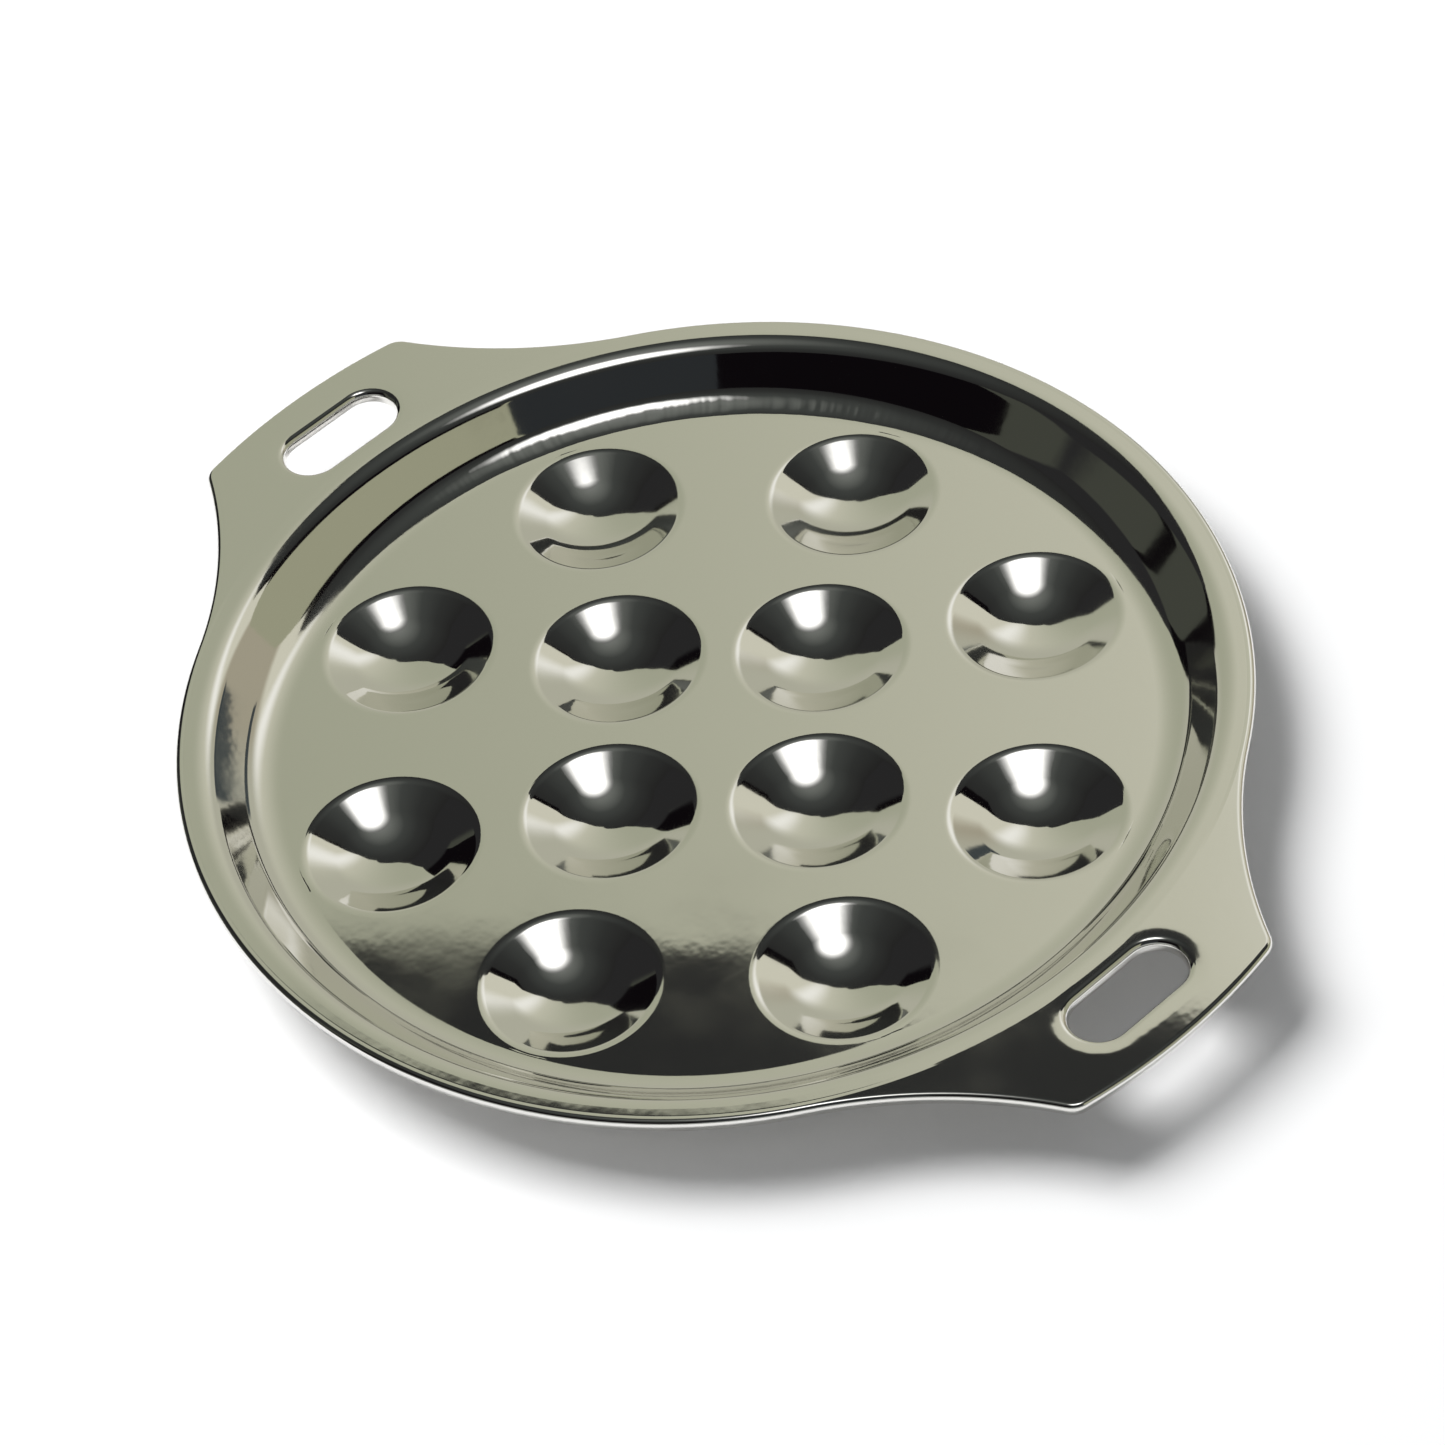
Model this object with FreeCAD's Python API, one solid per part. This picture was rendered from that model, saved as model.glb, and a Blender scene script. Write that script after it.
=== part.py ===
# Escargot plate: one pressed sheet of stainless steel with twelve snail wells and two slotted ears.
# Frame: +Z up, the ears along X, the origin under the middle on the table that the wells stand on.
# Sizes are in millimetres. Bend radii are those of the upper, polished side of the sheet.
import FreeCAD, Part
import math
import os

V = FreeCAD.Vector
UP = V(0, 0, 1)
ORIGIN = V(0, 0, 0)
half_turn = 180.0
full_turn = 360.0

# Sheet
sheet_thickness = 0.8

# Wells, each a shallow spherical cup that runs out into a short cone and a rounded lip
inner_wells = 4
outer_wells = 8
well_lip_radius = 18.0     # where the lip leaves the flat floor
cup_radius = 24.0
well_slope = 28.5          # of the cone, in degrees, where the well is steepest
well_lip_bend = 4.0
inner_well_gap = 4.3       # flat floor left between two neighbours of the inner ring
ring_gap = 6.6             # flat floor left between an inner well and the nearest outer ones
wall_gap = 0.4             # flat floor left between an outer well and the bend of the wall

# Tray wall, a cone that leans outwards from the floor to the flange
wall_rise = 10.0           # from the floor up to the flange
wall_slope = 46.5          # degrees above the horizontal
floor_bend = 9.0
rim_bend = 6.0

# Flange round the tray: it falls a little inwards, and its flat outer edge is turned down
flange_fall = 3.0          # degrees below the horizontal, towards the tray
flange_fall_width = 1.9
flange_width = 1.65        # flat ring and turned-down edge
skirt_drop = 3.0           # from the top of the flange to the lower edge of the turned-down skirt
skirt_bend = 1.0

# Ears, one at each end of X
ear_reach = 21.4           # beyond the round flange
ear_width = 52.0           # across the corners, before they are rounded
ear_side_radius = 100.0    # hollow sweep from the corner back to the round flange
ear_corner_radius = 4.5

# Slot in each ear, with a lip turned down all round
slot_length = 26.5
slot_width = 11.5
slot_edge_gap = 9.2        # from the clear slot to the tip of the ear
slot_lip_drop = 2.5
slot_lip_bend = 1.5


# Plan of the wells, worked out from their size and the floor left between them
inner_pitch_angle = full_turn / inner_wells
outer_pitch_angle = full_turn / outer_wells
outer_first_angle = outer_pitch_angle / 2
inner_ring_radius = (2 * well_lip_radius + inner_well_gap) / (2 * math.sin(math.radians(inner_pitch_angle / 2)))
ring_angle = math.radians(outer_first_angle)
ring_distance = 2 * well_lip_radius + ring_gap
outer_ring_radius = inner_ring_radius * math.cos(ring_angle) + math.sqrt(
    ring_distance ** 2 - (inner_ring_radius * math.sin(ring_angle)) ** 2)
floor_radius = outer_ring_radius + well_lip_radius + wall_gap

# Depth of a well: cup, cone and lip meet smoothly, so each adds its own part
cup_angle = math.radians(well_slope)
cup_rim_radius = cup_radius * math.sin(cup_angle)
cone_head_radius = well_lip_radius - well_lip_bend * math.sin(cup_angle)
cone_depth = (cone_head_radius - cup_rim_radius) * math.tan(cup_angle)
well_depth = (cup_radius + well_lip_bend) * (1 - math.cos(cup_angle)) + cone_depth
lip_outside_radius = well_lip_bend - sheet_thickness

# Heights
floor_top = well_depth + sheet_thickness
flange_top = floor_top + wall_rise
flange_underside = flange_top - sheet_thickness

# Radii of the tray wall and flange
slope = math.radians(wall_slope)
fall = math.radians(flange_fall)
wall_foot_radius = floor_radius + floor_bend * math.sin(slope)
wall_foot_height = floor_top + floor_bend * (1 - math.cos(slope))
fall_foot_height = flange_top - flange_fall_width * math.tan(fall)
wall_head_height = fall_foot_height - rim_bend * (math.cos(fall) - math.cos(slope))
wall_head_radius = wall_foot_radius + (wall_head_height - wall_foot_height) / math.tan(slope)
fall_foot_radius = wall_head_radius + rim_bend * (math.sin(slope) - math.sin(fall))
flange_inner_radius = fall_foot_radius + flange_fall_width
rim_radius = flange_inner_radius + flange_width

# Ears and their slots
ear_tip_radius = rim_radius + ear_reach
slot_centre = ear_tip_radius - slot_edge_gap - slot_width / 2
slot_straight = slot_length - slot_width
slot_lip_radius = slot_width / 2 + slot_lip_bend


def at(radius, height):
    """A point of a profile that is revolved about the upright axis."""
    return V(radius, 0, height)


def on_bend(centre, radius, angle):
    """A point on a bend, its angle in radians from the upright, turning outwards."""
    return at(centre.x + radius * math.sin(angle), centre.z + radius * math.cos(angle))


def bend(centre, radius, start, end):
    """A bend of a profile between two angles from the upright."""
    middle = (start + end) / 2
    points = [on_bend(centre, radius, angle) for angle in (start, middle, end)]
    return Part.Arc(*points).toShape()


def line(start, end):
    return Part.LineSegment(start, end).toShape()


def revolve(edges):
    """A closed profile turned once about the upright axis."""
    face = Part.Face(Part.Wire(edges))
    return face.revolve(ORIGIN, UP, full_turn)


def tray():
    """Floor, sloping wall and the falling part of the flange, with one thickness throughout."""
    foot = at(floor_radius, floor_top + floor_bend)
    head = at(fall_foot_radius + rim_bend * math.sin(fall), fall_foot_height - rim_bend * math.cos(fall))
    floor_side = (math.pi, math.pi - slope)
    rim_side = (-slope, -fall)
    foot_outside = floor_bend + sheet_thickness
    head_outside = rim_bend - sheet_thickness
    edges = [
        line(at(0, floor_top - sheet_thickness), at(0, floor_top)),
        line(at(0, floor_top), on_bend(foot, floor_bend, floor_side[0])),
        bend(foot, floor_bend, *floor_side),
        line(on_bend(foot, floor_bend, floor_side[1]), on_bend(head, rim_bend, rim_side[0])),
        bend(head, rim_bend, *rim_side),
        line(on_bend(head, rim_bend, rim_side[1]), at(flange_inner_radius, flange_top)),
        line(at(flange_inner_radius, flange_top), at(flange_inner_radius, flange_underside)),
        line(at(flange_inner_radius, flange_underside), on_bend(head, head_outside, rim_side[1])),
        bend(head, head_outside, rim_side[1], rim_side[0]),
        line(on_bend(head, head_outside, rim_side[0]), on_bend(foot, foot_outside, floor_side[1])),
        bend(foot, foot_outside, floor_side[1], floor_side[0]),
        line(on_bend(foot, foot_outside, floor_side[0]), at(0, floor_top - sheet_thickness)),
    ]
    return revolve(edges)


def cup():
    """One well about the upright axis: rounded lip, short cone and spherical bottom."""
    lip = at(well_lip_radius, floor_top - well_lip_bend)
    ball = at(0, floor_top - well_depth + cup_radius)
    outside_radius = cup_radius + sheet_thickness
    down = math.pi
    edges = [
        line(on_bend(lip, lip_outside_radius, 0), on_bend(lip, well_lip_bend, 0)),
        bend(lip, well_lip_bend, 0, -cup_angle),
        line(on_bend(lip, well_lip_bend, -cup_angle), on_bend(ball, cup_radius, down - cup_angle)),
        bend(ball, cup_radius, down - cup_angle, down),
        line(on_bend(ball, cup_radius, down), on_bend(ball, outside_radius, down)),
        bend(ball, outside_radius, down, down - cup_angle),
        line(on_bend(ball, outside_radius, down - cup_angle), on_bend(lip, lip_outside_radius, -cup_angle)),
        bend(lip, lip_outside_radius, -cup_angle, 0),
    ]
    return revolve(edges)


def well_places():
    """Centres of the wells: the inner ring on the axes, the outer ring half a step round."""
    inner = [(inner_ring_radius, n * inner_pitch_angle) for n in range(inner_wells)]
    outer = [(outer_ring_radius, outer_first_angle + n * outer_pitch_angle) for n in range(outer_wells)]
    return [V(r * math.cos(math.radians(a)), r * math.sin(math.radians(a)), 0) for r, a in inner + outer]


def polar(centre, radius, angle, height):
    return V(centre.x + radius * math.cos(angle), centre.y + radius * math.sin(angle), height)


def direction(start, end):
    return math.atan2(end.y - start.y, end.x - start.x)


def ear_geometry():
    """Centres of the hollow side and of the rounded corner, for the ear at +X and the side at +Y."""
    corner_angle = math.asin(ear_width / 2 / ear_tip_radius)
    reach = rim_radius + ear_side_radius
    cosine = (reach ** 2 + ear_tip_radius ** 2 - ear_side_radius ** 2) / (2 * reach * ear_tip_radius)
    side_angle = corner_angle + math.acos(cosine)
    side = polar(ORIGIN, reach, side_angle, 0)
    to_corner = ear_tip_radius - ear_corner_radius
    side_to_corner = ear_side_radius + ear_corner_radius
    cosine = (reach ** 2 + to_corner ** 2 - side_to_corner ** 2) / (2 * reach * to_corner)
    corner = polar(ORIGIN, to_corner, side_angle - math.acos(cosine), 0)
    return side, corner


def outline(inset, height):
    """The plate's outline seen from above: round rim, hollow ear sides, rounded corners and ear tips."""
    side, corner = ear_geometry()
    corner_start = direction(ORIGIN, corner)
    corner_end = direction(corner, side)
    rim_start = direction(ORIGIN, side)
    side_start = corner_end + math.pi
    side_end = rim_start + math.pi
    # Each stretch of the first quarter: its centre, its radius and its two angles.
    quarter = [
        (ORIGIN, ear_tip_radius - inset, 0, corner_start),
        (corner, ear_corner_radius - inset, corner_start, corner_end),
        (side, ear_side_radius + inset, side_start, side_end),
        (ORIGIN, rim_radius - inset, rim_start, math.pi / 2),
    ]
    edges = []
    for across, along in ((1, 1), (-1, 1), (-1, -1), (1, -1)):
        for centre, radius, start, end in quarter:
            points = [polar(centre, radius, angle, height) for angle in (start, (start + end) / 2, end)]
            flipped = [V(across * p.x, along * p.y, p.z) for p in points]
            edges.append(Part.Arc(*flipped).toShape())
    return Part.Wire(Part.sortEdges(edges)[0])


def prism(wire, rise):
    return Part.Face(wire).extrude(V(0, 0, rise))


def edges_at(shape, height):
    """The edges that lie level at one height."""
    near = 1e-6
    return [e for e in shape.Edges if abs(e.BoundBox.ZMin - height) < near and abs(e.BoundBox.ZMax - height) < near]


def flange():
    """Flat flange with its ears, its outer edge turned down into a skirt."""
    outside = prism(outline(0, flange_top - skirt_drop), skirt_drop)
    outside = outside.makeFillet(skirt_bend, edges_at(outside, flange_top))
    hollow_depth = skirt_drop + sheet_thickness
    inside = prism(outline(sheet_thickness, flange_underside - hollow_depth), hollow_depth)
    inside = inside.makeFillet(skirt_bend - sheet_thickness, edges_at(inside, flange_underside))
    middle = Part.makeCylinder(flange_inner_radius, 4 * skirt_drop, V(0, 0, flange_top - 2 * skirt_drop))
    return outside.cut(inside).cut(middle)


def slot_outline(radius, height):
    """A slot's rounded outline, centred on the upright axis and long across the ear."""
    half = slot_straight / 2
    ends = [V(-radius, -half, height), V(radius, -half, height), V(radius, half, height), V(-radius, half, height)]
    edges = [
        Part.Arc(ends[0], V(0, -half - radius, height), ends[1]).toShape(),
        line(ends[1], ends[2]),
        Part.Arc(ends[2], V(0, half + radius, height), ends[3]).toShape(),
        line(ends[3], ends[0]),
    ]
    return Part.Wire(edges)


def slot_lip():
    """The lip of a slot, its section swept along two sides and turned round two ends."""
    centre = at(slot_lip_radius, flange_top - slot_lip_bend)
    inside_radius = slot_lip_bend - sheet_thickness
    foot = flange_top - slot_lip_drop
    down = -math.pi / 2
    section = Part.Face(Part.Wire([
        line(on_bend(centre, inside_radius, 0), on_bend(centre, slot_lip_bend, 0)),
        bend(centre, slot_lip_bend, 0, down),
        line(on_bend(centre, slot_lip_bend, down), at(slot_width / 2, foot)),
        line(at(slot_width / 2, foot), at(slot_width / 2 + sheet_thickness, foot)),
        line(at(slot_width / 2 + sheet_thickness, foot), on_bend(centre, inside_radius, down)),
        bend(centre, inside_radius, down, 0),
    ]))
    to_end = V(0, slot_straight / 2, 0)
    side = section.extrude(2 * to_end).translated(-to_end)
    end = section.revolve(ORIGIN, UP, half_turn).translated(to_end)
    half = side.fuse(end)
    return half.fuse(half.rotated(ORIGIN, UP, half_turn))


def slotted_ears(sheet):
    """Cuts the slots into the flange and gives each its lip."""
    depth = 2 * slot_lip_drop
    opening = prism(slot_outline(slot_lip_radius, flange_top - depth), 2 * depth)
    lip = slot_lip()
    places = [V(slot_centre, 0, 0), V(-slot_centre, 0, 0)]
    sheet = sheet.cut([opening.translated(p) for p in places])
    return sheet.fuse([lip.translated(p) for p in places])


def escargot_plate():
    """Tray, flange and wells as one sheet."""
    places = well_places()
    holes = [Part.makeCylinder(well_lip_radius, floor_top, V(p.x, p.y, 0)) for p in places]
    one_cup = cup()
    cups = [one_cup.translated(p) for p in places]
    plate = tray().cut(holes)
    plate = plate.fuse([slotted_ears(flange())] + cups)
    return plate.removeSplitter()


plate = escargot_plate()
os.makedirs("parts", exist_ok=True)
plate.exportStep("parts/escargot_plate.step")
print("solids", len(plate.Solids), "valid", plate.isValid(), "volume mm3", round(plate.Volume, 1))
print("size mm", [round(s, 2) for s in (plate.BoundBox.XLength, plate.BoundBox.YLength, plate.BoundBox.ZLength)])
print("rings mm", round(inner_ring_radius, 2), round(outer_ring_radius, 2), "floor radius", round(floor_radius, 2))
print("wall radii", round(wall_foot_radius, 2), round(wall_head_radius, 2), "flange from", round(fall_foot_radius, 2))
print("rim radius", round(rim_radius, 3), "slot centre", round(slot_centre, 2), "well depth", round(well_depth, 3))
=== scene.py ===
# %% [markdown]
# # Escargot plate
#
# A plate for a dozen snails: one sheet of stainless steel, pressed in a die and polished to a
# mirror. It has a sunken tray with twelve round wells, a flat flange round it, and an ear with
# a slot at each end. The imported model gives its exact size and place. This lesson makes the
# finished surface round that frame: even, smooth bends that a mirror finish needs, the polish
# itself, and the studio that the mirror shows.

# %% Load the frame
import math

import bpy
from mathutils import Matrix, Vector


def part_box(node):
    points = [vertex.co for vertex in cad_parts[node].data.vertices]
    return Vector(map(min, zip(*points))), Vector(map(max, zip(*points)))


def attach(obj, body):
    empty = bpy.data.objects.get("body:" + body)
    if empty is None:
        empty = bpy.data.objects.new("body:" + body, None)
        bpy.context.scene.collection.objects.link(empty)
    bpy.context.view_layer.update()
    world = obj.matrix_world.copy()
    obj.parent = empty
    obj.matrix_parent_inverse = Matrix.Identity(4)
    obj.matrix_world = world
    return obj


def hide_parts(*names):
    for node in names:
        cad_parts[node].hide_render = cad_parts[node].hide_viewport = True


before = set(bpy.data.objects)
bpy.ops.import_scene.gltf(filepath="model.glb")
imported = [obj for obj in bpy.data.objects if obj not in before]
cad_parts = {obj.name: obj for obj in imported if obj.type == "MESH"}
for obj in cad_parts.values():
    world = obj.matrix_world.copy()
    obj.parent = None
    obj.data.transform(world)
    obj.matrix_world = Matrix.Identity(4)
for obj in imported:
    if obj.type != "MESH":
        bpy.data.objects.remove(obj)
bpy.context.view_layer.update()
low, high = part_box("escargot_plate")
print("frame:", [round(1000 * v, 2) for v in low], "to", [round(1000 * v, 2) for v in high], "mm")

# %% [markdown]
# ## The sizes of the pressing
#
# A die has only a few sizes of its own: the depth and lip of a well, the two bends of the tray
# wall, the turned-down edge. The overall lengths aren't repeated here. They are read from the
# frame's box, so that the outline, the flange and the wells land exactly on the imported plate.

# %% Sizes in metres
MM = 0.001
sheet_thickness = 0.8 * MM

well_lip_radius = 18.0 * MM
cup_radius = 24.0 * MM
well_slope = math.radians(28.5)
well_lip_bend = 4.0 * MM
inner_well_gap = 4.3 * MM
ring_gap = 6.6 * MM
wall_gap = 0.4 * MM
inner_wells = 4
outer_wells = 8

wall_rise = 10.0 * MM
wall_slope = math.radians(46.5)
floor_bend = 9.0 * MM
rim_bend = 6.0 * MM
flange_fall = math.radians(3)
flange_fall_width = 1.9 * MM

flange_top = high.z
rim_radius = high.y
ear_tip_radius = high.x
skirt_drop = 3.0 * MM
skirt_bend = 1.0 * MM
ear_width = 52.0 * MM
ear_side_radius = 100.0 * MM
ear_corner_radius = 4.5 * MM

slot_length = 26.5 * MM
slot_width = 11.5 * MM
slot_edge_gap = 9.2 * MM
slot_lip_drop = 2.5 * MM
slot_lip_bend = 1.5 * MM

floor_top = flange_top - wall_rise
slot_centre = ear_tip_radius - slot_edge_gap - slot_width / 2
slot_straight = slot_length - slot_width

# %% [markdown]
# ## Where the wells sit
#
# Four wells make an inner ring and eight an outer one, half a step round. Each ring's radius
# follows from the size of a well and the flat floor that the die leaves between neighbours.

# %% Plan of the wells
inner_ring_radius = (2 * well_lip_radius + inner_well_gap) / (2 * math.sin(math.pi / inner_wells))
outer_turn = math.pi / outer_wells
ring_distance = 2 * well_lip_radius + ring_gap
outer_ring_radius = inner_ring_radius * math.cos(outer_turn) + math.sqrt(
    ring_distance ** 2 - (inner_ring_radius * math.sin(outer_turn)) ** 2)
floor_radius = outer_ring_radius + well_lip_radius + wall_gap

cup_rim = Vector((cup_radius * math.sin(well_slope), cup_radius * (1 - math.cos(well_slope))))
cone_head = Vector((well_lip_radius - well_lip_bend * math.sin(well_slope), 0))
cone_head.y = cup_rim.y + (cone_head.x - cup_rim.x) * math.tan(well_slope)
well_depth = cone_head.y + well_lip_bend * (1 - math.cos(well_slope))

wall_foot = floor_bend * math.sin(wall_slope)
wall_foot_up = floor_bend * (1 - math.cos(wall_slope))
flange_edge_up = wall_rise - flange_fall_width * math.tan(flange_fall)
wall_head_up = flange_edge_up - rim_bend * (math.cos(flange_fall) - math.cos(wall_slope))
wall_head = wall_foot + (wall_head_up - wall_foot_up) / math.tan(wall_slope)
flange_edge = wall_head + rim_bend * (math.sin(wall_slope) - math.sin(flange_fall))
flange_inner_radius = floor_radius + flange_edge + flange_fall_width
print("rings", round(inner_ring_radius / MM, 2), round(outer_ring_radius / MM, 2),
      "well depth", round(well_depth / MM, 3),
      "flange from", round(flange_inner_radius / MM, 2), "to", round(rim_radius / MM, 2), "mm")

# %% [markdown]
# ## Node trees written as expressions
#
# Both the shape and the polish are made by nodes. Wiring nodes by hand is slow to read, so a
# small wrapper lets Python do it: adding two sockets makes a Math node, and `node` makes any
# other. Settings are set before sockets, because some sockets appear only with their setting.

# %% Socket and tree wrappers
class Value:
    """A number on its way through a node tree."""

    def __init__(self, tree, socket):
        self.tree = tree
        self.socket = socket

    def math(self, operation, *others):
        values = dict(enumerate((self,) + others))
        return self.tree.node("ShaderNodeMath", {"operation": operation}, values)

    def __add__(self, other):
        return self.math("ADD", other)

    def __sub__(self, other):
        return self.math("SUBTRACT", other)

    def __rsub__(self, other):
        return self.tree.node("ShaderNodeMath", {"operation": "SUBTRACT"}, {0: other, 1: self})

    def __mul__(self, other):
        return self.math("MULTIPLY", other)

    def __truediv__(self, other):
        return self.math("DIVIDE", other)

    __radd__ = __add__
    __rmul__ = __mul__


class Tree:
    """A node tree that is written as calls."""

    def __init__(self, tree):
        self.tree = tree

    def node(self, kind, settings=None, values=None, output=0):
        """Makes a node and returns one of its outputs."""
        made = self.tree.nodes.new(kind)
        for name, setting in (settings or {}).items():
            if name == "stops":
                set_stops(made.color_ramp, setting)
            else:
                setattr(made, name, setting)
        for name, value in (values or {}).items():
            self.feed(made.inputs[name], value)
        return Value(self, made.outputs[output]) if made.outputs else made

    def feed(self, socket, value):
        """Links a value to a socket, or sets a plain number there."""
        if isinstance(value, (list, tuple)) and value and isinstance(value[0], Value):
            for each in value:
                self.tree.links.new(each.socket, socket)
        elif isinstance(value, Value):
            self.tree.links.new(value.socket, socket)
        else:
            socket.default_value = value


def set_stops(ramp, stops):
    """Gives a colour ramp its stops, each a place and a colour."""
    while len(ramp.elements) < len(stops):
        ramp.elements.new(1.0)
    for element, (place, colour) in zip(ramp.elements, stops):
        element.position = place
        element.color = (*colour, 1.0)


# %% [markdown]
# ## Outlines of the edge and the slots
#
# The plate's outline is made only of arcs that run into each other: the round rim, the hollow
# side of an ear, its rounded corner and its tip. Points along those arcs make a closed curve
# that the edge's section can be swept along. A slot is two half circles joined by straights.

# %% Outline curves
arc_step = math.radians(1.5)
corner_step = math.radians(6)
slot_step = math.radians(9)


def arc(centre, radius, start, end, step, least=2):
    """Points of an arc in plan, without its last one."""
    count = max(least, math.ceil(abs(end - start) / step))
    angles = [start + (end - start) * n / count for n in range(count)]
    return [Vector((centre.x + radius * math.cos(a), centre.y + radius * math.sin(a), 0))
            for a in angles]


def plate_outline():
    """The outline seen from above, anticlockwise from the tip of the ear at +X."""
    middle = Vector((0, 0, 0))
    reach = rim_radius + ear_side_radius
    to_corner = ear_tip_radius - ear_corner_radius
    corner_angle = math.asin(ear_width / 2 / ear_tip_radius)
    side_angle = corner_angle + third_side_angle(reach, ear_tip_radius, ear_side_radius)
    side = Vector((reach * math.cos(side_angle), reach * math.sin(side_angle), 0))
    corner_start = side_angle - third_side_angle(
        reach, to_corner, ear_side_radius + ear_corner_radius)
    corner = Vector((to_corner * math.cos(corner_start), to_corner * math.sin(corner_start), 0))
    away = side - corner
    corner_end = math.atan2(away.y, away.x)
    quarter = arc(middle, ear_tip_radius, 0, corner_start, arc_step)
    quarter += arc(corner, ear_corner_radius, corner_start, corner_end, corner_step)
    quarter += arc(side, ear_side_radius, corner_end + math.pi, side_angle + math.pi, arc_step)
    quarter += arc(middle, rim_radius, side_angle, math.pi / 2, arc_step)
    top = Vector((0, rim_radius, 0))
    half = quarter + [top] + [Vector((-p.x, p.y, 0)) for p in reversed(quarter[1:])]
    return half + [Vector((-p.x, -p.y, 0)) for p in half]


def third_side_angle(first, second, opposite):
    """The angle between two sides of a triangle, from its three sides."""
    return math.acos((first ** 2 + second ** 2 - opposite ** 2) / (2 * first * second))


def slot_outline(centre):
    """A slot's clear outline, anticlockwise, with its straights divided as finely as its ends."""
    radius = slot_width / 2
    up = Vector((centre, slot_straight / 2, 0))
    down = Vector((centre, -slot_straight / 2, 0))
    steps = math.ceil(slot_straight / (radius * slot_step))
    climb = [(n / steps - 0.5) * slot_straight for n in range(steps)]
    right = [Vector((centre + radius, y, 0)) for y in climb]
    left = [Vector((centre - radius, -y, 0)) for y in climb]
    return (right + arc(up, radius, 0, math.pi, slot_step)
            + left + arc(down, radius, math.pi, 2 * math.pi, slot_step))


def closed_curve(name, loops):
    """A curve object of closed straight-edged splines."""
    curve = bpy.data.curves.new(name, "CURVE")
    curve.dimensions = "3D"
    for loop in loops:
        spline = curve.splines.new("POLY")
        spline.points.add(len(loop) - 1)
        for point, place in zip(spline.points, loop):
            point.co = (*place, 1.0)
        spline.use_cyclic_u = True
    made = bpy.data.objects.new(name, curve)
    bpy.context.scene.collection.objects.link(made)
    return made


outline = plate_outline()
outline_curve = closed_curve("outline", [outline])
slot_curve = closed_curve("slots", [slot_outline(slot_centre), slot_outline(-slot_centre)])
print("outline points", len(outline))

# %% [markdown]
# ## The sheet's upper side, by Geometry Nodes
#
# A mirror shows every wrong normal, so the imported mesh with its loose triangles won't do. A
# revolved and swept surface is better: each bend gets even rows of quads that run along it.
# Curve to Mesh sweeps a section along a path. In the section, x points away from the path's
# middle and y points down. A narrow flat band, the hem, lies beside each bend, so that the
# bend's turning normals can't leak into the wide flats, which Fill Curve closes. The well is
# made once and stands on the points of two rings.

# %% Sweep helpers
hem = 0.25 * MM
weld = 0.005 * MM


def section_arc(tree, centre, radius, start, turn, steps):
    """Part of a section: an arc about a centre, its angles from outwards towards down."""
    made = tree.node("GeometryNodeCurveArc", {"mode": "RADIUS"}, {
        "Resolution": steps + 1, "Radius": radius, "Start Angle": start, "Sweep Angle": turn})
    return tree.node("GeometryNodeTransform", None, {"Geometry": made, "Translation": (*centre, 0)})


def section_line(tree, start, end):
    """Part of a section: a straight between two points."""
    return tree.node("GeometryNodeCurvePrimitiveLine", None,
                     {"Start": (*start, 0), "End": (*end, 0)})


def sweep(tree, path, parts):
    """Sweeps every part of a section along a path."""
    upright = tree.node("GeometryNodeSetCurveNormal", {"mode": "Z_UP"}, {"Curve": path})
    section = joined(tree, parts)
    return tree.node("GeometryNodeCurveToMesh", None, {"Curve": upright, "Profile Curve": section})


def joined(tree, parts):
    """Several shapes as one."""
    return tree.node("GeometryNodeJoinGeometry", None, {"Geometry": parts})


def circle(tree, radius, steps):
    """A round path of as many straights as it has steps."""
    return tree.node("GeometryNodeCurvePrimitiveCircle", {"mode": "RADIUS"},
                     {"Resolution": steps, "Radius": radius})


def lifted(tree, geometry, height):
    """A shape moved straight up."""
    return tree.node("GeometryNodeTransform", None,
                     {"Geometry": geometry, "Translation": (0, 0, height)})


def grown(tree, path, distance):
    """A flat path moved outwards by a distance, point by point."""
    tangent = tree.node("GeometryNodeInputTangent")
    outwards = tree.node("ShaderNodeVectorMath", {"operation": "CROSS_PRODUCT"},
                         {0: tangent, 1: (0, 0, 1)})
    offset = tree.node("ShaderNodeVectorMath", {"operation": "SCALE"},
                       {0: outwards, "Scale": distance})
    return tree.node("GeometryNodeSetPosition", None, {"Geometry": path, "Offset": offset})


def filled(tree, loops):
    """A flat face inside a loop and outside the loops within it."""
    return tree.node("GeometryNodeFillCurve", {"mode": "TRIANGLES"}, {"Curve": joined(tree, loops)})


# %% [markdown]
# ### The group and its inputs
#
# A Geometry Nodes group could hold every size as a bare number. Here the things that come from
# outside, the outline, the slots and the material, are named inputs, and the sizes come from
# the cell of sizes, so that the group can be read beside the maker's drawing.

# %% The tree
well_steps = 80
cup_steps = 14
lip_steps = 8
tray_steps = 240
floor_bend_steps = 12
rim_bend_steps = 10
bend_steps = 8
quarter_turn = math.pi / 2

sheet = bpy.data.node_groups.new("pressed sheet", "GeometryNodeTree")
sheet.interface.new_socket("Outline", in_out="INPUT", socket_type="NodeSocketGeometry")
sheet.interface.new_socket("Slots", in_out="INPUT", socket_type="NodeSocketObject")
sheet.interface.new_socket("Material", in_out="INPUT", socket_type="NodeSocketMaterial")
sheet.interface.new_socket("Sheet", in_out="OUTPUT", socket_type="NodeSocketGeometry")
tree = Tree(sheet)
given = sheet.nodes.new("NodeGroupInput")
outline_path = Value(tree, given.outputs["Outline"])
slot_object = Value(tree, given.outputs["Slots"])
slot_path = tree.node("GeometryNodeObjectInfo", None, {"Object": slot_object}, "Geometry")
print("inputs:", [socket.name for socket in given.outputs if socket.name])

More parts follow.
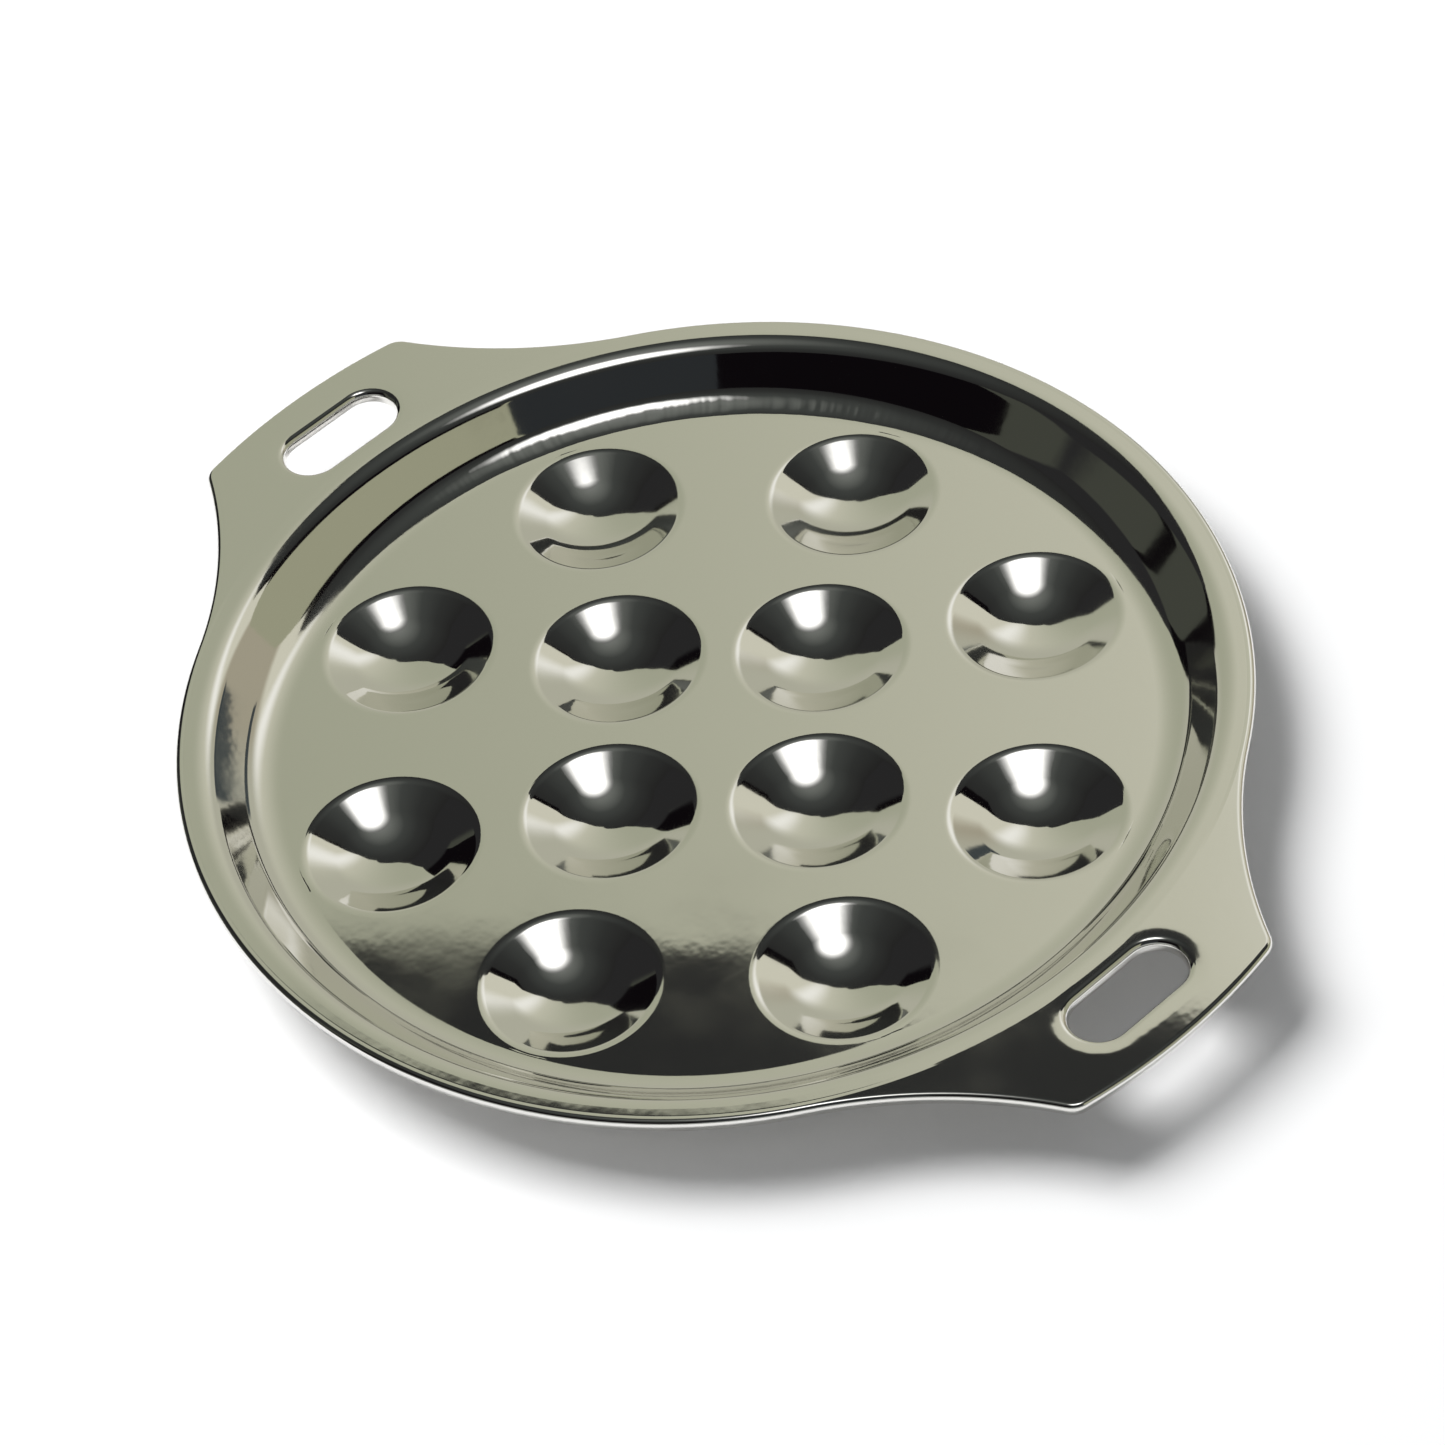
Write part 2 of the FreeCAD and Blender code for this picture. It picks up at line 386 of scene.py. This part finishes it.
# %% [markdown]
# ### A well
#
# A well is a round cup, a short cone and a rolled lip. Spinning a drawn profile would make it
# too, but here the lengths of the three parts follow from the cone's slope, so no part can gape.
# Every section runs from the middle outwards, which makes all faces look the same way. Angles
# are as a clock's: 0 points outwards, a quarter turn points down.

# %% The well's section
well_section = [
    section_arc(tree, (-well_lip_radius, well_depth - cup_radius), cup_radius,
                quarter_turn, -well_slope, cup_steps),
    section_line(tree, (cup_rim.x - well_lip_radius, well_depth - cup_rim.y),
                 (cone_head.x - well_lip_radius, well_depth - cone_head.y)),
    section_arc(tree, (0, well_lip_bend), well_lip_bend, -quarter_turn - well_slope, well_slope,
                lip_steps),
    section_line(tree, (0, 0), (hem, 0)),
]
one_well = sweep(tree, circle(tree, well_lip_radius, well_steps), well_section)
print("well of", cup_steps + lip_steps + 2, "rings of", well_steps, "faces")

# %% [markdown]
# ### The tray wall
#
# The wall bends up from the floor, runs straight, and bends out into the flange, which falls a
# little towards the tray first. Each bend starts and ends where its neighbours' slopes do, so
# the mirror image runs through without a break.

# %% The wall's section
hem_along = Vector((math.cos(wall_slope), math.sin(wall_slope))) * hem
foot, head = Vector((wall_foot, wall_foot_up)), Vector((wall_head, wall_head_up))
fall_start = Vector((flange_edge, flange_edge_up))
fall_end = Vector((flange_edge + flange_fall_width, wall_rise))
fall_hem = Vector((math.cos(flange_fall), math.sin(flange_fall))) * hem
rim_centre = fall_start + rim_bend * Vector((math.sin(flange_fall), -math.cos(flange_fall)))


def rising_lines(tree, points):
    """Straights of a section through points given as outwards and up."""
    return [section_line(tree, (a.x, -a.y), (b.x, -b.y)) for a, b in zip(points, points[1:])]


wall_section = [
    section_line(tree, (-hem, 0), (0, 0)),
    section_arc(tree, (0, -floor_bend), floor_bend, quarter_turn, -wall_slope, floor_bend_steps),
    *rising_lines(tree, [foot, foot + hem_along, head - hem_along, head]),
    section_arc(tree, (rim_centre.x, -rim_centre.y), rim_bend, -quarter_turn - wall_slope,
                wall_slope - flange_fall, rim_bend_steps),
    *rising_lines(tree, [fall_start, fall_start + fall_hem, fall_end - fall_hem, fall_end,
                         fall_end + Vector((hem, 0))]),
]
wall = sweep(tree, circle(tree, floor_radius, tray_steps), wall_section)
print("wall from", round(foot.x / MM, 2), "to", round(head.x / MM, 2), "mm outside the floor")

# %% [markdown]
# ### The turned-down edge and the slots' lips
#
# The flange's edge is turned down into a short skirt. An upright skirt would be simpler, but it
# would mirror the white table in front of the plate. This one leans in a little, as a pressed
# one does, and mirrors the table in the plate's own shadow. The slots' lips stay upright.

# %% The sections of the edge and the slots
skirt_tuck = math.radians(18)
skirt_bent = skirt_bend * (1 + math.sin(skirt_tuck))
skirt_length = (skirt_drop - skirt_bent) / math.cos(skirt_tuck)


def tucked(along):
    """A point of the leaning skirt, a length past the end of its bend."""
    return (-skirt_bend * (1 - math.cos(skirt_tuck)) - along * math.sin(skirt_tuck),
            skirt_bent + along * math.cos(skirt_tuck))


edge_section = [
    section_line(tree, (-skirt_bend - hem, 0), (-skirt_bend, 0)),
    section_arc(tree, (-skirt_bend, skirt_bend), skirt_bend, -quarter_turn,
                quarter_turn + skirt_tuck, bend_steps),
    section_line(tree, tucked(0), tucked(hem)),
    section_line(tree, tucked(hem), tucked(skirt_length)),
]
edge = sweep(tree, outline_path, edge_section)

slot_section = [
    section_line(tree, (0, slot_lip_drop), (0, slot_lip_bend + hem)),
    section_line(tree, (0, slot_lip_bend + hem), (0, slot_lip_bend)),
    section_arc(tree, (slot_lip_bend, slot_lip_bend), slot_lip_bend, math.pi, quarter_turn,
                bend_steps),
    section_line(tree, (slot_lip_bend, 0), (slot_lip_bend + hem, 0)),
]
slot_lips = sweep(tree, slot_path, slot_section)
print("skirt", round(skirt_length / MM, 2), "mm long past its bend")

# %% [markdown]
# ### Wells on their rings, and the flats between
#
# The two rings of wells are points on circles. A copy of the well stands on each point, and
# the same points carry the round hole that the floor needs there, so holes and wells can't
# part. Everything is then joined, welded along the shared rows and given its material.

# %% Wells on their rings
inner_ring = tree.node("GeometryNodeMeshCircle", {"fill_type": "NONE"},
                       {"Vertices": inner_wells, "Radius": inner_ring_radius})
outer_ring = tree.node("GeometryNodeMeshCircle", {"fill_type": "NONE"},
                       {"Vertices": outer_wells, "Radius": outer_ring_radius})
turned_ring = tree.node("GeometryNodeTransform", None,
                        {"Geometry": outer_ring, "Rotation": (0, 0, outer_turn)})
well_places = joined(tree, [inner_ring, turned_ring])


def on_places(tree, thing):
    """One copy of a thing on every place of a well."""
    copies = tree.node("GeometryNodeInstanceOnPoints", None,
                       {"Points": well_places, "Instance": thing})
    return tree.node("GeometryNodeRealizeInstances", None, {"Geometry": copies})


wells = on_places(tree, one_well)
holes = on_places(tree, circle(tree, well_lip_radius + hem, well_steps))
floor_face = filled(tree, [circle(tree, floor_radius - hem, tray_steps), holes])
flange_face = filled(tree, [grown(tree, outline_path, -skirt_bend - hem),
                            grown(tree, slot_path, slot_lip_bend + hem),
                            circle(tree, flange_inner_radius + hem, tray_steps)])
tray = lifted(tree, joined(tree, [wells, floor_face, wall]), floor_top)
flange = lifted(tree, joined(tree, [flange_face, edge, slot_lips]), flange_top)
whole = tree.node("GeometryNodeMergeByDistance", None,
                  {"Geometry": joined(tree, [tray, flange]), "Distance": weld})
whole = tree.node("GeometryNodeSetShadeSmooth", None, {"Geometry": whole, "Shade Smooth": True})
whole = tree.node("GeometryNodeSetMaterial", None,
                  {"Geometry": whole, "Material": Value(tree, given.outputs["Material"])})
tree.node("NodeGroupOutput", None, {"Sheet": whole})
print("sheet tree has", len(sheet.nodes), "nodes")

# %% [markdown]
# ## The polish
#
# Polished stainless steel is a mirror with a faintly warm grey tint. Small faults make it look
# real: reflected edges wander over a sheet that isn't quite flat, and the polishing wheel and
# hands leave hazy patches. Pictures of real steel could be laid over the plate, but a pattern
# worked out from each point's place needs no picture and never shows a seam. What bends the
# reflections is a height in metres, which one Bump node turns into normals. The haze is
# roughness.

# %% Patterns
def soft_step(tree, value, start, end):
    """0 before the start, 1 after the end, and smooth between them."""
    return tree.node("ShaderNodeMapRange", {"interpolation_type": "SMOOTHSTEP"},
                     {"Value": value, "From Min": start, "From Max": end})


def band(tree, value, start, full, fade, end):
    """1 from full to fade, 0 outside start and end, and smooth between them."""
    return soft_step(tree, value, start, full) * (1 - soft_step(tree, value, fade, end))


def distance(first, second):
    """How far two steps at right angles lead."""
    return (first * first + second * second).math("SQRT")


def separate(tree, vector):
    """The three coordinates of a vector."""
    split = tree.node("ShaderNodeSeparateXYZ", None, {"Vector": vector})
    return [Value(tree, output) for output in split.socket.node.outputs]


def noise(tree, vector, length, detail=1.0):
    """A random pattern from 0 to 1 with grains of a length."""
    return tree.node("ShaderNodeTexNoise", None,
                     {"Vector": vector, "Scale": 1 / length, "Detail": detail}, "Fac")


# %% [markdown]
# ### Puckers
#
# Drawing the sheet into the tray puckers the foot of the wall, so a reflected lamp breaks into
# sparkles there. They could be modelled, but they are a tenth of a millimetre high and only
# the mirror shows them. The noise is read along a circle, which makes each pucker run straight
# up the wall. They come in patches, and most of all at the back of the plate.

# %% Puckers
pucker_length, pucker_height = 2.4 * MM, 0.15 * MM
pucker_inner = floor_radius + 1.2 * MM
pucker_full = floor_radius + 3.4 * MM
pucker_outer = floor_radius + 6 * MM
patch_length = 15 * MM
patch_from, patch_full = 0.25, 0.55
side_turn = math.radians(53)
back_from, back_full = 20 * MM, 50 * MM
side_band = (-60 * MM, -20 * MM, 35 * MM, 75 * MM)


def puckers(tree, x, y, radius):
    """The height of the puckers at the foot of the tray wall."""
    on_circle = tree.node("ShaderNodeCombineXYZ", None, {
        "X": x / radius * floor_radius, "Y": y / radius * floor_radius})
    to_side = x * math.cos(side_turn) + y * math.sin(side_turn)
    to_back = y * math.cos(side_turn) - x * math.sin(side_turn)
    patches = soft_step(tree, noise(tree, on_circle, patch_length), patch_from, patch_full)
    at_back = soft_step(tree, to_back, back_from, back_full) * band(tree, to_side, *side_band)
    at_foot = band(tree, radius, pucker_inner, pucker_full, pucker_full, pucker_outer)
    return noise(tree, on_circle, pucker_length) * at_foot * patches * at_back * pucker_height


# %% [markdown]
# ### Draw and rise
#
# Punching a slot draws the sheet down beside it, and the flange rises a little before it turns
# into the edge. Both are a tenth of a millimetre or two. The draw could be a bend in the sheet,
# but it would run into the rim's bend on the slot's inner side, so both are heights as well. A
# parabola stands for the large round bend of the draw.

# %% Draw and rise
draw_width, draw_radius = 4.4 * MM, 60 * MM
rise_slope = math.tan(math.radians(6))
rise_from, rise_full = 30 * MM, 52 * MM


def slot_draw(x, y):
    """How far the sheet is drawn down round the slots."""
    along = (y.math("ABSOLUTE") - slot_straight / 2).math("MAXIMUM", 0.0)
    to_slot = distance(x.math("ABSOLUTE") - slot_centre, along) - slot_width / 2
    drawn = (draw_width - to_slot).math("MAXIMUM", 0.0)
    return drawn * drawn / (2 * draw_radius)


def flange_rise(tree, y, radius):
    """How far the flange rises towards its edge, away from the ears."""
    on_flange = radius.math("MAXIMUM", flange_inner_radius).math("MINIMUM", rim_radius - skirt_bend)
    off_ears = soft_step(tree, y.math("ABSOLUTE"), rise_from, rise_full)
    return (on_flange - flange_inner_radius) * rise_slope * off_ears


# %% [markdown]
# ### The material
#
# One metallic shader carries it all. Clear and hazy steel could be two shaders with a mix
# between them, but haze is only a little more roughness, so it is added to the clear steel's.

# %% Polished steel
steel_tint = (0.79, 0.78, 0.75, 1.0)
wave_length, wave_height = 9 * MM, 0.009 * MM
ripple_length, ripple_height = 2.6 * MM, 0.005 * MM
clean_roughness, haze_roughness = 0.045, 0.05
haze_length, haze_detail = 22 * MM, 3.0
haze_from, haze_full = 0.42, 0.75


def polished_steel():
    """The plate's material."""
    material = bpy.data.materials.new("polished_steel")
    material.use_nodes = True
    material.node_tree.nodes.clear()
    tree = Tree(material.node_tree)
    place = tree.node("ShaderNodeTexCoord", None, None, "Object")
    x, y, _ = separate(tree, place)
    radius = distance(x, y)
    waves = noise(tree, place, wave_length) * wave_height
    ripples = noise(tree, place, ripple_length) * ripple_height
    height = (waves + ripples + puckers(tree, x, y, radius) + flange_rise(tree, y, radius)
              - slot_draw(x, y))
    normal = tree.node("ShaderNodeBump", None, {"Height": height, "Strength": 1.0, "Distance": 1.0})
    haze = soft_step(tree, noise(tree, place, haze_length, haze_detail), haze_from, haze_full)
    steel = tree.node("ShaderNodeBsdfPrincipled", None, {
        "Base Color": steel_tint, "Metallic": 1.0,
        "Roughness": clean_roughness + haze * haze_roughness, "Normal": normal})
    tree.node("ShaderNodeOutputMaterial", None, {"Surface": steel})
    return material


steel_material = polished_steel()
print("steel has", len(steel_material.node_tree.nodes), "nodes")

# %% [markdown]
# ## From nodes to a plate
#
# The tree gives the upper side only. The modifier's result is turned into a plain mesh, and
# Solidify adds the sheet's thickness underneath, measured along the surface's own normals, as
# a real sheet keeps its thickness round a bend. A tiny Bevel breaks the sheared edges.

# %% Bake the sheet
edge_break = 0.12 * MM
sheared_angle = math.radians(60)


def input_name(group, name):
    """The identifier of a group's input, which a modifier needs in place of its name."""
    return next(item.identifier for item in group.interface.items_tree
                if item.in_out == "INPUT" and item.name == name)


def baked(source, name):
    """A plain mesh object from an object with live modifiers."""
    graph = bpy.context.evaluated_depsgraph_get()
    mesh = bpy.data.meshes.new_from_object(source.evaluated_get(graph))
    mesh.name = name
    made = bpy.data.objects.new(name, mesh)
    bpy.context.scene.collection.objects.link(made)
    return made


shaper = outline_curve.modifiers.new("pressed sheet", "NODES")
shaper.node_group = sheet
shaper[input_name(sheet, "Slots")] = slot_curve
shaper[input_name(sheet, "Material")] = steel_material
skin = baked(outline_curve, "plate_skin")
for used in (outline_curve, slot_curve):
    bpy.data.objects.remove(used)

thickener = skin.modifiers.new("thickness", "SOLIDIFY")
thickener.thickness = sheet_thickness
thickener.offset = -1.0
breaker = skin.modifiers.new("edge break", "BEVEL")
breaker.width = edge_break
breaker.segments = 2
breaker.limit_method = "ANGLE"
breaker.angle_limit = sheared_angle
plate = baked(skin, "pressed_plate")
bpy.data.objects.remove(skin)
triangles = sum(len(p.vertices) - 2 for p in plate.data.polygons)
print("plate:", len(plate.data.vertices), "points,", triangles, "triangles")

# %% [markdown]
# ## Put it in the frame
#
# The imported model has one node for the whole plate. The finished plate could lie over it, but
# two skins in one place flicker, so it stands in for the node and rides on the node's body.

# %% Put it in the frame
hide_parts("escargot_plate")
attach(plate, "root")

# %% [markdown]
# ## The camera
#
# The camera looks down from the front with a slight tilt, through a long lens. It could be
# placed by eye, but a mirror's images move with every degree, so its angles and distance were
# worked out from where the twelve wells and the rim lie in the picture. From here on, places
# in the studio are given as the camera sees them: to the right, away from it and up.

# %% Camera
camera_azimuth = math.radians(53.38)
camera_height_angle = math.radians(47.13)
camera_distance = 1.0532
camera_tilt = math.radians(9.2)
photo_width = 1445
focal_pixels = 5400
sensor_width = 36.0
aim_right, aim_away = 0.00135, 0.00155


def studio(right, away, up):
    """A place given as the camera sees it, in the plate's frame."""
    return Matrix.Rotation(camera_azimuth, 3, "Z") @ Vector((right, away, up))


def aimed(thing, place, target):
    """Puts a thing at a place with its -Z axis towards the target and level."""
    facing = (target - place).to_track_quat("-Z", "Y")
    thing.matrix_world = Matrix.Translation(place) @ facing.to_matrix().to_4x4()
    return thing


aim = studio(aim_right, aim_away, floor_top)
back = studio(0, -math.cos(camera_height_angle), math.sin(camera_height_angle))
lens = bpy.data.cameras.new("camera")
lens.sensor_width = sensor_width
lens.lens = sensor_width * focal_pixels / photo_width
lens.clip_start = 0.01
camera = bpy.data.objects.new("camera", lens)
bpy.context.scene.collection.objects.link(camera)
aimed(camera, aim + camera_distance * back, aim)
camera.matrix_world = camera.matrix_world @ Matrix.Rotation(-camera_tilt, 4, "Z")
bpy.context.scene.camera = camera
print("lens", round(lens.lens, 1), "mm")

# %% [markdown]
# ## What the mirror sees
#
# A mirror has no colour of its own, so the studio round it is half of the picture. A photographer
# stands a pale card behind such a plate and keeps the rest dark, with one soft lamp overhead.
# A picture of a room could be wrapped round the scene instead, but it has no depth, and each
# well would show the same. These panels stand in their places and glow by themselves, painted
# by place, which keeps their tones exact. The camera and the floor don't see them: only the
# polish does.

# %% Painted panels
def glowing(name, paint):
    """A panel's material: its own light, in a colour worked out from right, away and up."""
    material = bpy.data.materials.new(name)
    material.use_nodes = True
    material.node_tree.nodes.clear()
    tree = Tree(material.node_tree)
    place = tree.node("ShaderNodeTexCoord", None, None, "Object")
    level = tree.node("ShaderNodeMapping", None,
                      {"Vector": place, "Rotation": (0, 0, -camera_azimuth)})
    light = tree.node("ShaderNodeEmission", None, {"Color": paint(tree, *separate(tree, level))})
    tree.node("ShaderNodeOutputMaterial", None, {"Surface": light})
    return material


def blend(tree, mask, first, second):
    """Goes from one colour to another as a mask goes from 0 to 1."""
    mixed = tree.node("ShaderNodeMix", {"data_type": "RGBA"}, None, 2)
    sockets = mixed.socket.node.inputs
    for socket, value in ((sockets[0], mask), (sockets[6], first), (sockets[7], second)):
        tree.feed(socket, (*value, 1.0) if isinstance(value, tuple) else value)
    return mixed


def ramp(tree, value, stops, interpolation="LINEAR"):
    """Colours along a value from 0 to 1."""
    made = tree.node("ShaderNodeValToRGB", {"stops": stops}, {"Fac": value}, "Color")
    made.socket.node.color_ramp.interpolation = interpolation
    return made


def panel(name, corners, faces, material):
    """A thing of the studio from its corners, each right, away and up."""
    mesh = bpy.data.meshes.new(name)
    mesh.from_pydata([studio(*corner) for corner in corners], [], faces)
    made = bpy.data.objects.new(name, mesh)
    made.data.materials.append(material)
    bpy.context.scene.collection.objects.link(made)
    return made


def for_the_mirror(made):
    """Hides a panel from all but the polish."""
    made.visible_camera = False
    made.visible_shadow = False
    made.visible_diffuse = False
    return made


# %% [markdown]
# ### Card
#
# The card stands 20 cm behind the plate and gives the floor of the tray and the flange their
# colour. It is grey-green and paler towards the right. Its left edge stands nearly upright and
# its top edge slants. A soft pool of white, as a lamp throws, is painted on its right half, its
# lowest part is painted as lit differently, and a dark band runs up to the right there. Masks on
# a flat shape do all this, where real cards and lamps would need to be tried out one against the
# other.

# %% Card
card_away = 0.306
card_corners = [
    (-0.185, 0.02), (-0.2, 0.22), (-0.165, 0.34), (-0.118, 0.40), (0.0, 0.432), (0.02, 0.452),
    (0.03, 0.478), (0.09, 0.492), (0.2, 0.56), (0.45, 0.60), (0.9, 0.85), (0.9, 0.02)]
card_left, card_right = (0.426, 0.441, 0.339), (0.71, 0.70, 0.587)
card_span = (-0.15, 0.3)
pool_white = (1.0, 1.0, 0.95)
pool_right, pool_up = 0.25, 0.34
pool_wide, pool_tall, pool_reach = 0.08, 0.26, 1.7
low_left, low_right = (0.50, 0.50, 0.41), (0.42, 0.39, 0.30)
low_span = (0.2, 0.4)
low_up, low_fade, low_rise = 0.06, 0.14, 0.35
dark_band_tone = (0.055, 0.066, 0.07)
dark_band_left, dark_band_up, dark_band_rise = 0.20, 0.016, 0.54
dark_band_across = (dark_band_left, 0.21, 0.45, 0.48)
dark_band_along = (-0.001, 0.001, 0.04, 0.05)


def card_paint(tree, right, away, up):
    """The card's colour: a slow change, a painted pool of light, a lower part and a dark band."""
    from_pool = distance((right - pool_right) / pool_wide, (up - pool_up) / pool_tall)
    pool = 1 - soft_step(tree, from_pool, 0.0, pool_reach)
    plain = blend(tree, soft_step(tree, right, *card_span), card_left, card_right)
    lower_part = blend(tree, soft_step(tree, right, *low_span), low_left, low_right)
    low = 1 - soft_step(tree, up - right * low_rise, low_up, low_up + low_fade)
    shaded = blend(tree, low, blend(tree, pool, plain, pool_white), lower_part)
    # A thin dark band runs up to the right, low on the card's right half.
    above_dark_band = up - dark_band_up - (right - dark_band_left) * dark_band_rise
    dark_band = band(tree, above_dark_band, *dark_band_along) * band(tree, right, *dark_band_across)
    return blend(tree, dark_band, shaded, dark_band_tone)


card_shape = [(right, card_away, up) for right, up in card_corners]
for_the_mirror(panel("card", card_shape, [range(len(card_shape))], glowing("card", card_paint)))
print("card of", len(card_shape), "corners")

# %% [markdown]
# ### Round wall
#
# A round wall stands for the dark room. From the camera's back it runs over the left, the far
# side and the right: near black with stretches of dark grey, then an olive-grey screen on the
# right whose top edge climbs towards the camera. High on the left it is a plain dark grey. Low
# behind the camera it is pale, so that the plate isn't black to someone who looks from the
# other side. Four flat walls would show their corners in the tray's wall: a round one doesn't.

# %% Round wall
wall_reach, wall_bottom, wall_top = 1.3, 0.02, 1.4
wall_sides = 96
screen, dim = (0.37, 0.375, 0.265), (0.06, 0.064, 0.052)
# The near-black tone is the painted dark of the unlit room round the plate.
unlit_black, night = (0.004, 0.003, 0.004), (0.026, 0.029, 0.032)
wall_tones = [(-180, night), (-167, unlit_black), (-101, dim), (-62, unlit_black), (-59, dim), (-45, unlit_black),
              (30, screen), (143, night)]
screen_top, screen_climb, screen_soft = 0.2, 1.15, 0.01
screen_turns = (0.55, 0.56, 0.893, 0.895)
upper_wall = (0.024, 0.024, 0.025)
upper_up, upper_turns = (0.55, 0.65), (0.255, 0.265, 0.45, 0.46)
pale_behind = (0.42, 0.43, 0.41)
behind_up, behind_turns = (0.25, 0.62), (0.28, 0.38)


def wall_paint(tree, right, away, up):
    """The wall's colour by the turn from the camera's back, from 0 to 1, and by height."""
    turn = right.math("ARCTAN2", away) / (2 * math.pi) + 0.5
    stops = [((angle + 180) / 360, tone) for angle, tone in wall_tones]
    tones = ramp(tree, turn, stops, "CONSTANT")
    above_screen = up - (screen_top + turn * screen_climb)
    over = soft_step(tree, above_screen, -screen_soft, screen_soft)
    over = over * band(tree, turn, *screen_turns)
    high = soft_step(tree, up, *upper_up) * band(tree, turn, *upper_turns)
    from_far_side = (turn - 0.5).math("ABSOLUTE")
    behind = (1 - soft_step(tree, up, *behind_up)) * soft_step(tree, from_far_side, *behind_turns)
    dark = blend(tree, high, blend(tree, over, tones, unlit_black), upper_wall)
    return blend(tree, behind, dark, pale_behind)


wall_turns = [2 * math.pi * n / wall_sides for n in range(wall_sides)]
ring = [(wall_reach * math.sin(turn), wall_reach * math.cos(turn)) for turn in wall_turns]
foot_and_head = [(x, y, z) for z in (wall_bottom, wall_top) for x, y in ring]
staves = [(n, (n + 1) % wall_sides, wall_sides + (n + 1) % wall_sides, wall_sides + n)
          for n in range(wall_sides)]
for_the_mirror(panel("round_wall", foot_and_head, staves, glowing("round_wall", wall_paint)))
print("wall of", len(staves), "sides and", len(wall_tones), "tones")

# %% [markdown]
# ### Ceiling
#
# The ceiling is what the deep of every well shows: light near the softbox, and ever darker away
# from it. A white ceiling lit by a lamp would do that too, but a ramp along the distance gives
# each tone its place.

# %% Ceiling
glow_right, glow_away = 0.1, -0.1
ceiling_reach = 2.0
ceiling_tones = [(0.0, (0.24, 0.25, 0.24)), (0.14, (0.15, 0.16, 0.15)),
                 (0.27, (0.058, 0.063, 0.06)), (0.45, (0.034, 0.036, 0.035)),
                 (0.7, (0.022, 0.022, 0.022)), (1.0, (0.012, 0.011, 0.012))]


def ceiling_paint(tree, right, away, up):
    """The ceiling's colour by the distance from its brightest place."""
    from_glow = distance(right - glow_right, away - glow_away)
    return ramp(tree, from_glow / ceiling_reach, ceiling_tones)


for_the_mirror(panel("ceiling", [(x, y, wall_top) for x, y in ring], [range(wall_sides)],
                     glowing("ceiling", ceiling_paint)))
print("ceiling at", wall_top, "m")

# %% [markdown]
# ### Softbox
#
# The one bright thing overhead: a lamp behind a round cloth. An area lamp would show its hard
# edge in the polish. This disc is brightest in the middle and soft all round, and shows in
# every well as a small white shape that fades into the dark.

# %% Softbox
softbox_right, softbox_away, softbox_up = 0.10, -0.16, 0.715
softbox_wide, softbox_deep = 0.18, 0.16
softbox_core, softbox_reach = 0.3, 1.25
softbox_white, softbox_rim = (2.6, 2.6, 2.6), (0.17, 0.175, 0.17)


def softbox_paint(tree, right, away, up):
    """The cloth's light, from its bright core to its dim rim."""
    from_core = distance((right - softbox_right) / softbox_wide,
                         (away - softbox_away) / softbox_deep)
    return blend(tree, soft_step(tree, from_core, softbox_core, softbox_reach),
                 softbox_white, softbox_rim)


softbox_edge = [(softbox_right + softbox_wide * softbox_reach * x / wall_reach,
                 softbox_away + softbox_deep * softbox_reach * y / wall_reach,
                 softbox_up) for x, y in ring]
for_the_mirror(panel("softbox", softbox_edge, [range(wall_sides)],
                     glowing("softbox", softbox_paint)))
print("softbox", round(2 * softbox_wide * softbox_reach, 2), "m wide")

# %% [markdown]
# ## Floor
#
# The table is plain and nearly white. A studio sheet that turns up into a wall would do as
# well, but seen from above the table fills the picture, so one large flat square is enough.

# %% Floor
floor_reach = 6.0
floor_white = (0.92, 0.92, 0.92, 1.0)
floor_corners = [(side * floor_reach, depth * floor_reach, 0)
                 for side, depth in ((-1, -1), (1, -1), (1, 1), (-1, 1))]
pale_floor = bpy.data.materials.new("pale_floor")
pale_floor.use_nodes = True
pale_floor.node_tree.nodes.clear()
tree = Tree(pale_floor.node_tree)
table = tree.node("ShaderNodeBsdfDiffuse", None, {"Color": floor_white})
tree.node("ShaderNodeOutputMaterial", None, {"Surface": table})
panel("floor", floor_corners, [range(len(floor_corners))], pale_floor)
print("floor", 2 * floor_reach, "m wide")

# %% [markdown]
# ## Sky
#
# The sky is the pale room beyond everything. Seen straight or in a mirror it is white, which is
# a strength of 1. As light on the table it is weaker, so that the lamp's shadow stays. Light
# Path tells the two apart, where a second world or a painted backdrop would be more to keep.

# %% Sky
sky_light = 0.3
sky_white = (0.97, 0.985, 1.0, 1.0)
world = bpy.data.worlds.new("world")
bpy.context.scene.world = world
world.use_nodes = True
world.node_tree.nodes.clear()
tree = Tree(world.node_tree)
path = tree.node("ShaderNodeLightPath", None, None, "Is Camera Ray")
seen = path
for other in ("Is Glossy Ray", "Is Transmission Ray"):
    seen = seen.math("MAXIMUM", Value(tree, path.socket.node.outputs[other]))
strength = sky_light + seen * (1 - sky_light)
sky = tree.node("ShaderNodeBackground", None, {"Color": sky_white, "Strength": strength})
tree.node("ShaderNodeOutputWorld", None, {"Surface": sky})
print("sky", sky_light, "as light, 1 as seen")

# %% [markdown]
# ## Lamp
#
# One large, soft lamp stands high on the left and behind the plate, and throws the shadow on
# the right. A sun would give its direction as well, but not the soft edge of its shadow. The
# polish doesn't see it, because the softbox is the lamp of the mirror image.

# %% Lamp
lamp_place = (-1.8, 1.3, 3.1)
lamp_size, lamp_power = 2.3, 170.0
light = bpy.data.lights.new("lamp", "AREA")
light.size = lamp_size
light.energy = lamp_power
lamp = bpy.data.objects.new("lamp", light)
bpy.context.scene.collection.objects.link(lamp)
aimed(lamp, studio(*lamp_place), studio(0, 0, 0))
lamp.visible_glossy = False
bpy.context.scene.view_settings.view_transform = "Standard"
print("lamp", lamp_size, "m wide at", lamp_place)
